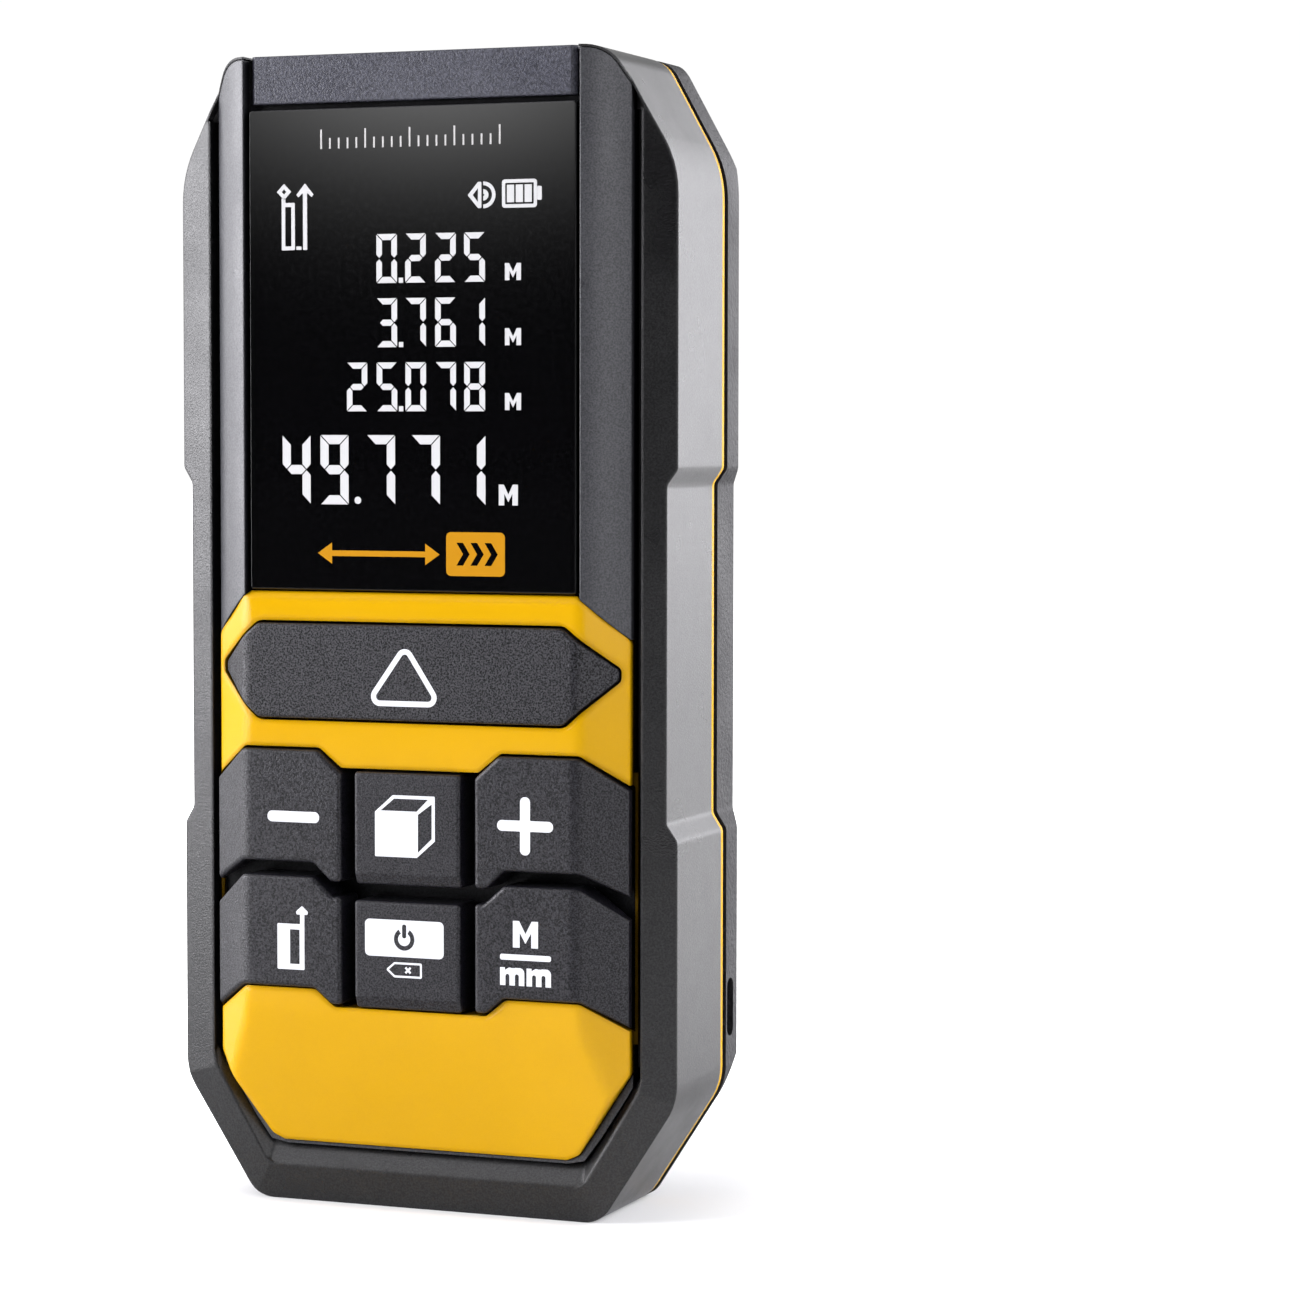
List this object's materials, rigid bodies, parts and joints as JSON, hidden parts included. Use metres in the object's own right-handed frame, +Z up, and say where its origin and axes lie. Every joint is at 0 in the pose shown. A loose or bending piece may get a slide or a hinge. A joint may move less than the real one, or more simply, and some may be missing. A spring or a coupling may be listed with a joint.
{
  "type": "laser distance meter",
  "caption": "Handheld laser distance meter: grey bumper shells, glass display, yellow key panel with pressing keys, hinged battery door, lens pair in the top end.",
  "frame": {"origin": "centre of the bounding box's bottom face, where the instrument stands on its lower end", "axes": "+Z up towards the beam end, -Y out of the display, +X to the user's right as the display is read"},
  "size_m": [0.0536, 0.028, 0.115],
  "materials": {
    "bumper_grey": "satin moulded plastic, fine grain",
    "rear_textured": "coarse spark-eroded texture",
    "yellow": "satin amber yellow",
    "bezel_grey": "satin",
    "black_rubber": "matt",
    "bar_grey": "satin blue-grey",
    "window_black": "polished, black printed from behind",
    "lcd": "dark liquid crystal cell",
    "white_plastic": "white light guide",
    "black_plastic": "matt",
    "key_grey": "grained",
    "steel": "plated",
    "board": "green solder mask",
    "screw": "blackened steel",
    "die_cast": "die cast",
    "lens": "polished, coated",
    "brass": "turned",
    "cover_black": "satin black",
    "cell": "plain wrapper"
  },
  "bodies": {
    "instrument": {"front_housing": "bumper_grey", "rear_housing": "rear_textured", "seam_ring": "yellow", "front_bezel": "bezel_grey", "groove_seal": "black_rubber", "top_bar": "bar_grey", "display_window": "window_black", "lcd_panel": "lcd", "lcd_backlight": "white_plastic", "lcd_holder": "black_plastic", "keypad_frame": "yellow", "keypad_mat": "black_rubber", "switch_domes": "steel", "main_board": "board", "board_screws": "screw", "housing_screws": "screw", "buzzer": "black_plastic", "optics_chassis": "die_cast", "receiver_lens": "lens", "laser_barrel": "brass", "collimator_lens": "lens", "laser_diode": "steel", "detector_board": "board", "photodetector": "steel", "optics_cover": "cover_black", "laser_window": "lens", "cell_left": "cell", "cell_right": "cell", "contact_springs": "steel", "contact_plates": "steel"},
    "measure_button_body": {"measure_button": "key_grey"},
    "minus_key_body": {"minus_key": "key_grey"},
    "function_key_body": {"function_key": "key_grey"},
    "plus_key_body": {"plus_key": "key_grey"},
    "reference_key_body": {"reference_key": "key_grey"},
    "clear_key_body": {"clear_key": "key_grey"},
    "unit_key_body": {"unit_key": "key_grey"},
    "door": {"battery_door": "rear_textured"}
  },
  "joints": [
    {"name": "measure_button_press", "type": "slide", "parent": "instrument", "child": "measure_button_body", "axis": [0, 1, 0], "range_m": [0, 0.0006], "stiffness_N_per_m": 1500, "springref_m": -0.0004},
    {"name": "minus_key_press", "type": "slide", "parent": "instrument", "child": "minus_key_body", "axis": [0, 1, 0], "range_m": [0, 0.0006], "stiffness_N_per_m": 1500, "springref_m": -0.0004},
    {"name": "function_key_press", "type": "slide", "parent": "instrument", "child": "function_key_body", "axis": [0, 1, 0], "range_m": [0, 0.0006], "stiffness_N_per_m": 1500, "springref_m": -0.0004},
    {"name": "plus_key_press", "type": "slide", "parent": "instrument", "child": "plus_key_body", "axis": [0, 1, 0], "range_m": [0, 0.0006], "stiffness_N_per_m": 1500, "springref_m": -0.0004},
    {"name": "reference_key_press", "type": "slide", "parent": "instrument", "child": "reference_key_body", "axis": [0, 1, 0], "range_m": [0, 0.0006], "stiffness_N_per_m": 1500, "springref_m": -0.0004},
    {"name": "clear_key_press", "type": "slide", "parent": "instrument", "child": "clear_key_body", "axis": [0, 1, 0], "range_m": [0, 0.0006], "stiffness_N_per_m": 1500, "springref_m": -0.0004},
    {"name": "unit_key_press", "type": "slide", "parent": "instrument", "child": "unit_key_body", "axis": [0, 1, 0], "range_m": [0, 0.0006], "stiffness_N_per_m": 1500, "springref_m": -0.0004},
    {"name": "door_hinge", "type": "hinge", "parent": "instrument", "child": "door", "pos_m": [0, 0.01315, 0.01425], "axis": [-1, 0, 0], "range_deg": [0, 85]}
  ]
}
